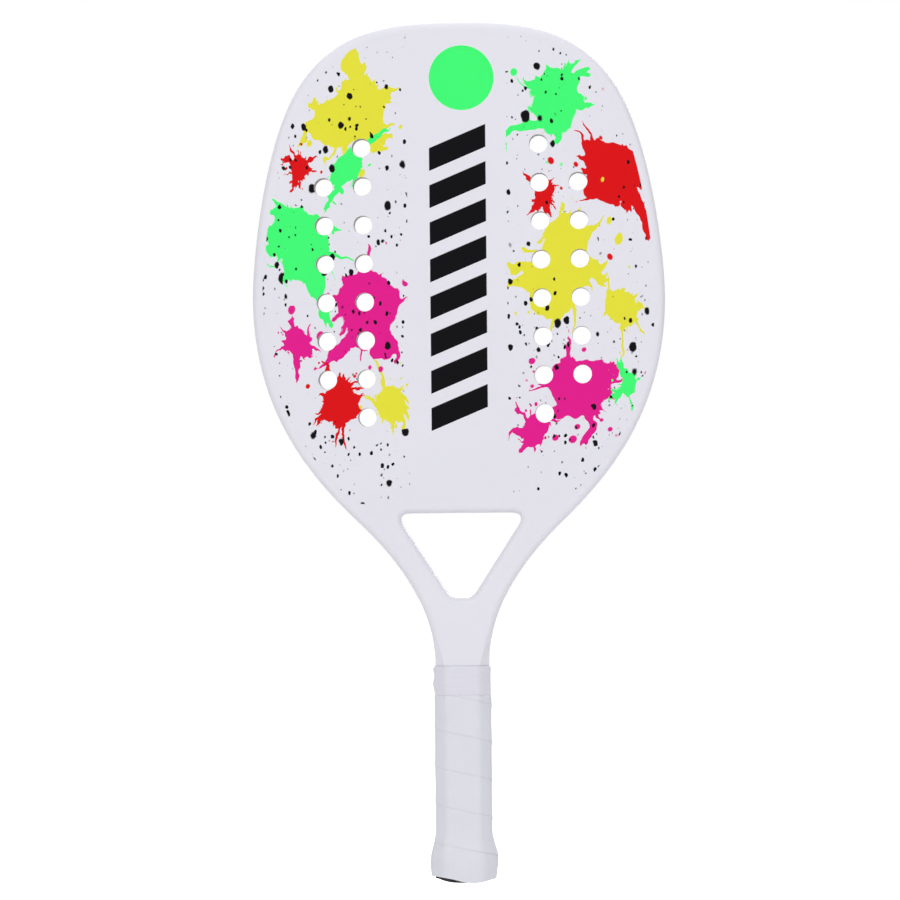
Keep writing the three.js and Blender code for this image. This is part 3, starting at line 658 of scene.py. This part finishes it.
def addLegs(bm):
    legs = frameShell["legs"]
    width = (legs["width"] - legs["slot"]) / 2
    bottom, top = up(legs["bottom"]), up(racket["handle"] - legs["gap"])
    for side in (-1, 1):
        middle = Vector((side * (legs["slot"] + width) / 2 * mm, 0, (bottom + top) / 2))
        size = Vector((width * mm, legs["depth"] * mm, top - bottom))
        made = bmesh.ops.create_cube(bm, matrix=Matrix.LocRotScale(middle, None, size))
        outer = [e for e in unique(e for v in made["verts"] for e in v.link_edges)
                 if all(v.co.x * side > abs(middle.x) for v in e.verts)
                 and abs(e.verts[0].co.z - e.verts[1].co.z) > 1e-3]
        bmesh.ops.bevel(bm, geom=outer, offset=legs["rounding"] * mm, affect="EDGES",
                        segments=4, profile=0.5, material=-1)


bridgeFoot = cornerTop - topTrim


def bridgePlane(side, inset):
    # the joint runs in line with the arm, where the rounding of the throat corner starts
    point = Vector((side * (bridgeFoot - inset / math.cos(armLean)) * mm, 0, up(throatTop)))
    return point, Vector((side * math.cos(armLean), 0, -math.sin(armLean)))


def takeBridge(body):
    bm = body.copy()
    for side in (-1, 1):
        point, outwards = bridgePlane(side, frameShell["hairline"])
        bmesh.ops.bisect_plane(bm, geom=everything(bm), dist=1e-8, plane_co=point,
                               plane_no=outwards, clear_outer=True)
    above = up(faceFloor + frameShell["bridgeReach"])
    away = [f for f in bm.faces if f.calc_center_median().z > above]
    bmesh.ops.delete(bm, geom=away, context="FACES")
    bmesh.ops.holes_fill(bm, edges=[e for e in bm.edges if e.is_boundary], sides=0)
    return bm


def leaveArms(bm):
    low, high = up(throatTop - frameShell["bridgeReach"]), up(faceFloor + 0.2)

    def isNear(face):
        return all(low < v.co.z < high for v in face.verts)

    for side in (-1, 1):
        point, outwards = bridgePlane(side, 0)
        bmesh.ops.bisect_plane(bm, geom=geometryOf([f for f in bm.faces if isNear(f)]),
                               dist=1e-8, plane_co=point, plane_no=outwards)

    def isBridge(face):
        middle = face.calc_center_median()
        planes = [bridgePlane(side, 0) for side in (-1, 1)]
        return isNear(face) and all((middle - p).dot(n) < 0 for p, n in planes)

    bmesh.ops.delete(bm, geom=[f for f in bm.faces if isBridge(f)], context="FACES")
    bmesh.ops.holes_fill(bm, edges=[e for e in bm.edges if e.is_boundary], sides=0)


body = mouldedBody()
deepenNeck(body)
trimNeck(body)
bridge = takeBridge(body)
leaveArms(body)
addLegs(body)
finishPiece("mouldedFrame", body, ["frame_tube"], lacquered)
finishPiece("mouldedBridge", bridge, ["throat_bridge"], lacquered)


# Face sheets and foam core with their drilled holes
drilling = {
    "diameter": 10.4,
    "middle": 0.5684,  # shares of the length above the handle
    "row": 0.0599,
    "columns": [(0.4297, -3, 4), (0.6178, -2, 3)],  # share of the half width, first and last row
    "shift": -0.026,  # share of the half width
    "lean": 0.8,  # degrees, right side higher
    "sides": 48,
    "brokenEdge": 0.25,
}
layers = {
    "faceThickness": 1.2,
    "faceInset": 5.506,
    "coreInset": 10.7,
    "coreFloor": 13.3,  # above the throat
    "coreHalf": 8.78,
}


def holeCentres():
    half = racket["headWidth"] / 2
    middle = Vector((drilling["shift"] * half, 0,
                     racket["handle"] + drilling["middle"] * bodyLength))
    lean = Matrix.Rotation(-math.radians(drilling["lean"]), 3, "Y")
    for side in (-1, 1):
        for share, first, last in drilling["columns"]:
            for row in range(first, last + 1):
                offset = Vector((side * share * half, 0, row * drilling["row"] * bodyLength))
                yield middle + lean @ offset


def drilledPlate(points, near, far):
    # near is the outer side of a sheet, whose hole edges are broken
    bm = bmesh.new()
    edges = closedLoop(bm, points, near)
    for centre in holeCentres():
        spot = Matrix.Translation((centre.x * mm, near * mm, up(centre.z)))
        made = bmesh.ops.create_circle(bm, segments=drilling["sides"], cap_ends=False,
                                       radius=drilling["diameter"] / 2 * mm,
                                       matrix=spot @ Matrix.Rotation(math.pi / 2, 4, "X"))
        edges += unique(e for v in made["verts"] for e in v.link_edges)
    bmesh.ops.triangle_fill(bm, use_beauty=True, use_dissolve=False, edges=edges,
                            normal=(0, 1, 0))
    made = bmesh.ops.extrude_face_region(bm, geom=bm.faces[:])["geom"]
    moving = [g for g in made if isinstance(g, bmesh.types.BMVert)]
    bmesh.ops.translate(bm, verts=moving, vec=(0, (far - near) * mm, 0))
    bmesh.ops.recalc_face_normals(bm, faces=bm.faces)
    return bm


def faceSheet(side):
    inner = halfThickness - layers["faceThickness"]
    points = headPoints(layers["faceInset"], throatTop + layers["faceInset"])
    bm = drilledPlate(points, side * halfThickness, side * inner)
    # the outer edges of the holes: those round a drilled centre where two faces meet sharply
    reach = drilling["diameter"] / 2 * 1.02 * mm
    centres = [Vector((c.x * mm, side * halfThickness * mm, up(c.z))) for c in holeCentres()]
    outer = [e for e in bm.edges if all(abs(v.co.y - side * halfThickness * mm) < 1e-6
                                        for v in e.verts)
             and len(e.link_faces) == 2 and e.calc_face_angle() > 1
             and any((e.verts[0].co - c).length < reach for c in centres)]
    bmesh.ops.bevel(bm, geom=outer, offset=drilling["brokenEdge"] * mm, affect="EDGES",
                    segments=2, profile=0.5, material=-1)
    return bm


finishPiece("frontSheet", faceSheet(-1), ["front_face"], printed, sharp=20)
finishPiece("backSheet", faceSheet(1), ["back_face"], printed, sharp=20)
corePoints = headPoints(layers["coreInset"], throatTop + layers["coreFloor"])
core = drilledPlate(corePoints, -layers["coreHalf"], layers["coreHalf"])
finishPiece("foamCore", core, ["eva_core"], foamed, sharp=20)


# Butt cap, wound strip and finishing band on the eight-sided handle
handle = {
    "width": 28,
    "depth": 25,
    "bevel": 5.3,
    "rounding": 3,
    "flare": 3.2,
    "flareStart": 29,
    "flarePeak": 12.5,
    "rollIn": 2.3,
    "rollEnd": 3.6,  # below this height it rolls in no further
    "seat": 0.3,
    "roundRadius": 14,  # the round form that is drawn before it is pressed to eight sides
}


def gripReach(turn, offset):
    # distance from the axis to the eight-sided section, drawn out by an offset
    x, y = handle["width"] / 2, handle["depth"] / 2
    bevel, rounding = handle["bevel"], handle["rounding"]
    side = Vector((abs(math.cos(turn)), abs(math.sin(turn))))
    cut = rounding * math.tan(math.pi / 8)
    if side.x > 0.2 and (x + offset) / side.x * side.y <= y - bevel - cut:
        return (x + offset) / side.x
    if side.y > 0.2 and (y + offset) / side.y * side.x <= x - bevel - cut:
        return (y + offset) / side.y
    reach = (x + y - bevel + offset * math.sqrt(2)) / (side.x + side.y)
    along = reach * (side.x - side.y)
    near, far = Vector((x - rounding, y - bevel - cut)), Vector((x - bevel - cut, y - rounding))
    if far.x - far.y <= along <= near.x - near.y:
        return reach
    centre = near if along > near.x - near.y else far
    toCentre = side.dot(centre)
    return toCentre + math.sqrt((rounding + offset) ** 2 - centre.length_squared + toCentre ** 2)


def standOff(height):
    # how far the strip's underside stands off the handle shells
    swell = 1 - smoothstep(height, handle["flarePeak"], handle["flareStart"])
    below = max(0, (handle["flarePeak"] - max(height, handle["rollEnd"])) / handle["flarePeak"])
    return handle["seat"] + handle["flare"] * swell - handle["rollIn"] * below * below


def pressToHandle(bm, base, extra=lambda turn, height, lift: 0):
    # radius beyond the round form is lift over the base; inside it, it is a share of the reach
    for v in bm.verts:
        radius, turn = math.hypot(v.co.x, v.co.y) / mm, math.atan2(v.co.y, v.co.x)
        height = v.co.z / mm - buttEnd
        lift = radius - handle["roundRadius"]
        if lift < -1e-6:
            reach = gripReach(turn, base(height)) * radius / handle["roundRadius"]
        else:
            reach = gripReach(turn, base(height) + lift + extra(turn, height, lift))
        v.co.x, v.co.y = reach * math.cos(turn) * mm, reach * math.sin(turn) * mm


def profileLoop(bm, profile, closed=True):
    ring = [bm.verts.new(((handle["roundRadius"] + out) * mm, 0, height * mm))
            for height, out in profile]
    pairs = list(zip(ring, ring[1:])) + ([(ring[-1], ring[0])] if closed else [])
    return ring + [bm.edges.new(pair) for pair in pairs]


cap = {
    "dome": 3.5,
    "rounding": [(3.0, 0.988), (3.7, 1)],  # height and share of the reach
    "skirt": 23,
    "wall": 2,
    "innerFoot": 6,
    "innerShare": 0.82,
    "play": 0.35,
    "steps": 96,
}


def buttCap():
    bm = bmesh.new()
    radius = handle["roundRadius"]

    def capBase(height):
        return standOff(max(height, cap["dome"])) - handle["seat"]

    def domeRise(share):
        # flat in its inner quarter
        return cap["dome"] * max(0, (4 * share - 1) / 3) ** 2

    shares = [k / 10 for k in range(11)]
    edge = cap["rounding"][-1][0]
    outer = [(domeRise(s), s) for s in shares[:-1]] + cap["rounding"]
    outer += [(lerp(edge, cap["skirt"], k / 12), 1) for k in range(1, 13)]
    thin = [lerp(cap["skirt"], cap["innerFoot"], k / 12) for k in range(13)]
    inner = [(h, (radius + cap["play"]) / (radius + capBase(h))) for h in thin]
    inner += [(cap["wall"] + domeRise(s), s * cap["innerShare"]) for s in reversed(shares)]
    profile = [(h + buttEnd, (s - 1) * radius) for h, s in outer + inner]
    bmesh.ops.spin(bm, geom=profileLoop(bm, profile, closed=False), cent=(0, 0, 0),
                   axis=(0, 0, 1), angle=2 * math.pi, steps=cap["steps"], use_merge=True)
    pressToHandle(bm, capBase)
    bmesh.ops.remove_doubles(bm, verts=bm.verts, dist=1e-6)
    return bm


finishPiece("buttCap", buttCap(), ["butt_cap"], capped, sharp=40)

strip = {
    "pitch": 21,
    "seamAtFront": 82.8,  # height of one seam in the middle of the front
    "stepsRound": 132,
    "bottom": 4.1,
    "top": 121.2,
    "bandBottom": 105.2,
    "pressed": 0.3,
    # the strip's end is pulled over the cap's edge on one side of the front
    "sag": {"depth": 3.4, "middle": 5, "width": 12, "fade": 14},
    "crease": {"depth": 0.14, "round": 1.6, "along": 9},
    "bottomLean": 0.02,  # slope of its cut lower edge
    "width": 24,
    "spare": (4, 5.1),  # wound beyond the bottom and the top, then cut off
    # across the strip and out from its seat, first along the top, then back along the underside
    "profile": [
        (0, 1.36), (0, 1.48), (0.3, 1.58), (1.2, 1.6), (2.4, 1.56), (4, 1.5), (6, 1.45),
        (9, 1.42), (13, 1.41), (17, 1.41), (20.2, 1.41), (21.2, 1.24), (22.2, 0.85),
        (23.3, 0.5), (23.4, 0.4), (23.4, 0), (18, 0), (12, 0), (6, 0), (3, 0.02),
        (2.5, 0.47), (2.3, 0.57), (1.2, 0.92),
    ],
}
band = {
    "inside": 0.95,
    "thickness": 0.6,
    "bottom": 104.9,
    "top": 121.46,
    "lip": 0.2,
    "steps": 160,
    "lumps": [(1.15, 111, 3.6), (1.1, 119, 1.9)],  # rise, height and width
    "fold": 0.42,  # half angle over which the lumps fade
    "stretchLine": {"rise": 0.22, "height": 117.3, "width": 0.9, "swing": 1.6, "turn": 0.6},
    "wave": {"depth": 0.1, "round": 2, "along": 4},
    "edge": 0.25,
    # its upper end is drawn in against the neck: below the top, and out
    "hem": [(0.6, 1.35), (0.25, 1), (0, 0.5), (0, 0.02)],
    "hemStart": 1.2,
}


def waviness(turn, height, wave):
    spot = Vector((math.cos(turn) * wave["round"], math.sin(turn) * wave["round"],
                   height / wave["along"]))
    return wave["depth"] * noise.noise(spot)


def stripExtra(turn, height, lift):
    # pressed thin under the band, and creased a little where a hand would hold it
    thin = lerp(1, strip["pressed"], smoothstep(height, strip["bandBottom"] - 0.8,
                                                strip["bandBottom"] + 0.4))
    return lift * (thin - 1) + waviness(turn, height, strip["crease"]) * thin * min(1, lift)


def woundStrip():
    bm = bmesh.new()
    climb = strip["pitch"] / strip["stepsRound"]
    # the strip climbs as it runs clockwise seen from above, so its seams fall to the right
    quarter = strip["pitch"] / 4
    start = strip["seamAtFront"] - quarter
    below, above = strip["spare"]
    while start + strip["width"] > strip["bottom"] - below:
        start -= strip["pitch"]
    turns = (strip["top"] + above - start) / strip["pitch"]
    profile = [(start + buttEnd + s, out) for s, out in strip["profile"]]
    steps = math.ceil(turns * strip["stepsRound"])
    bmesh.ops.spin(bm, geom=profileLoop(bm, profile), cent=(0, 0, 0), axis=(0, 0, 1),
                   dvec=(0, 0, climb * mm), angle=-2 * math.pi * steps / strip["stepsRound"],
                   steps=steps, use_merge=False)
    pressToHandle(bm, standOff, stripExtra)
    for point, outwards in (((0, 0, up(strip["bottom"])), (-strip["bottomLean"], 0, -1)),
                            ((0, 0, up(strip["top"])), (0, 0, 1))):
        bmesh.ops.bisect_plane(bm, geom=everything(bm), dist=1e-8, plane_co=point,
                               plane_no=outwards, clear_outer=True)
        bmesh.ops.holes_fill(bm, edges=[e for e in bm.edges if e.is_boundary], sides=0)
    sag = strip["sag"]
    for v in bm.verts:
        height = v.co.z / mm - buttEnd
        if v.co.y < 0:
            end = 1 - smoothstep(height, strip["bottom"], strip["bottom"] + sag["fade"])
            pull = sag["depth"] * hump(v.co.x / mm, sag["middle"], sag["width"]) * end
            v.co.z -= pull * mm
    return bm


finishPiece("woundGrip", woundStrip(), ["grip_wrap"], gripped, sharp=50)


def bandExtra(turn, height, lift):
    # the band's end is folded in on the left, where it stands up in two lumps
    away = abs(math.atan2(math.sin(turn - math.pi), math.cos(turn - math.pi)))
    lumps = sum(rise * hump(height, middle, width) for rise, middle, width in band["lumps"])
    fold = hump(away, 0, band["fold"]) * lumps
    stretch = band["stretchLine"]
    level = height - stretch["swing"] * math.sin(turn + stretch["turn"])
    line = stretch["rise"] * hump(level, stretch["height"], stretch["width"])
    isOuter = lift > 0.3  # its underside stays smooth
    return (fold + line + waviness(turn, height, band["wave"])) * isOuter


def finishingBand():
    bm = bmesh.new()
    low, high = band["bottom"], band["top"]
    heights = [lerp(low + band["edge"], high - band["hemStart"], k / 14) for k in range(15)]
    inside, outside = band["inside"], band["inside"] + band["thickness"]
    profile = [(low, inside), (low, outside - band["edge"])] + [(h, outside) for h in heights]
    profile += [(high - drop, out) for drop, out in band["hem"]]
    profile += [(high - band["lip"], band["hem"][-1][1]), (high - band["lip"], inside)]
    profile = [(h + buttEnd, out) for h, out in profile]
    bmesh.ops.spin(bm, geom=profileLoop(bm, profile), cent=(0, 0, 0), axis=(0, 0, 1),
                   angle=2 * math.pi, steps=band["steps"], use_merge=True)
    pressToHandle(bm, lambda height: 0, bandExtra)
    return bm


finishPiece("finishingBand", finishingBand(), ["finishing_tape"], banded,
            sharp=50)

# CAD nodes that keep their own shape, inside the handle
inner = {"pallet_front": shelled, "pallet_back": shelled, "leg_spacer": foamed}
inner |= {f"cap_staple_{k}": wired for k in range(1, 5)}
for name, material in inner.items():
    nodes[name].data.materials.clear()
    nodes[name].data.materials.append(material)
print("all pieces made")


# Floor, light and camera
studio = {
    "eye": (95, -3600, 241.65),  # camera, from the axis at the butt end
    "aim": -5.9,  # across, where it looks
    "lens": 257.85,
    "roll": 0.56,
    "floorDrop": 118,  # floor below the butt end, so that its shadow stays out of the picture
    "floorHalf": 12,
    "floorColours": ("#EDEDED", "#F4F4F4"),
    "glow": (0.4, 0.8),  # the floor's own light, under the racket and far from it
    "glowReach": (0.3, 2.2),  # metres from the middle over which it grows
    "target": (0, 0, 0.15),
    "lamps": {  # place, size and power
        "keyLight": ((-0.9, -2.6, 2.1), 2.4, 51),
        "fillLight": ((1.9, -1.5, 0.7), 1.6, 8.5),
        "rearLight": ((0.6, 2.4, 1.6), 2.4, 36),
        "topLight": ((0, 0.3, 1.9), 0.8, 7),
    },
    "sky": 0.38,
}


def seenByEye(tree):
    # 1 for camera rays and what they see in a gloss or through glass, 0 for light that falls
    path = addNode(tree, "LightPath").outputs
    seen = path["Is Camera Ray"]
    for ray in ("Is Glossy Ray", "Is Transmission Ray"):
        seen = compute(tree, "MAXIMUM", seen, path[ray])
    return seen


def addFloor():
    bm = bmesh.new()
    bmesh.ops.create_grid(bm, x_segments=2, y_segments=2, size=studio["floorHalf"],
                          matrix=Matrix.Translation((0, 0, up(-studio["floorDrop"]))))
    mesh = bpy.data.meshes.new("paleFloor")
    bm.to_mesh(mesh)
    bm.free()
    floor = bpy.data.objects.new("paleFloor", mesh)
    bpy.context.scene.collection.objects.link(floor)
    # matt painted board: white to the eye where it is lit, grey where the shadow falls
    material, tree, shader, place = startMaterial("paintedBoard", Roughness=0.9)
    speckle = addNode(tree, "TexNoise", {"Vector": place, "Scale": 40, "Detail": 2})
    connect(tree, shader, Base_Color=blend(tree, speckle, *map(linear, studio["floorColours"])))
    away = compute(tree, "LENGTH", place, kind="VectorMath").outputs["Value"]
    reach = remap(tree, away, *studio["glowReach"], *studio["glow"])
    glow = compute(tree, "MULTIPLY", seenByEye(tree), reach)
    light = addNode(tree, "Emission", {"Strength": glow})
    both = addNode(tree, "AddShader", {0: shader, 1: light})
    tree.links.new(both.outputs[0], tree.nodes["Material Output"].inputs["Surface"])
    mesh.materials.append(material)


def addSoftbox(name, place, size, power):
    lamp = bpy.data.lights.new(name, "AREA")
    lamp.size = size
    lamp.energy = power
    box = bpy.data.objects.new(name, lamp)
    box.location = place
    towards = Vector(studio["target"]) - Vector(place)
    box.rotation_euler = towards.to_track_quat("-Z", "Y").to_euler()
    bpy.context.scene.collection.objects.link(box)


def addSky():
    world = bpy.data.worlds.new("paleStudio")
    world.use_nodes = True
    bpy.context.scene.world = world
    tree = world.node_tree
    strength = remap(tree, seenByEye(tree), 0, 1, studio["sky"], 1)
    sky = tree.nodes["Background"]
    sky.inputs["Color"].default_value = (1, 1, 1, 1)
    tree.links.new(strength.outputs[0], sky.inputs["Strength"])


def addCamera():
    data = bpy.data.cameras.new("camera")
    data.lens = studio["lens"]
    data.sensor_width = 36
    data.clip_end = 100
    camera = bpy.data.objects.new("camera", data)
    x, y, height = studio["eye"]
    camera.matrix_world = (Matrix.Translation((x * mm, y * mm, up(height)))
                           @ Matrix.Rotation(math.atan2(x - studio["aim"], -y), 4, "Z")
                           @ Matrix.Rotation(math.pi / 2, 4, "X")
                           @ Matrix.Rotation(math.radians(-studio["roll"]), 4, "Z"))
    bpy.context.scene.collection.objects.link(camera)
    bpy.context.scene.camera = camera


addFloor()
for name, (place, size, power) in studio["lamps"].items():
    addSoftbox(name, place, size, power)
addSky()
addCamera()
bpy.context.scene.view_settings.view_transform = "Standard"
print("studio ready")
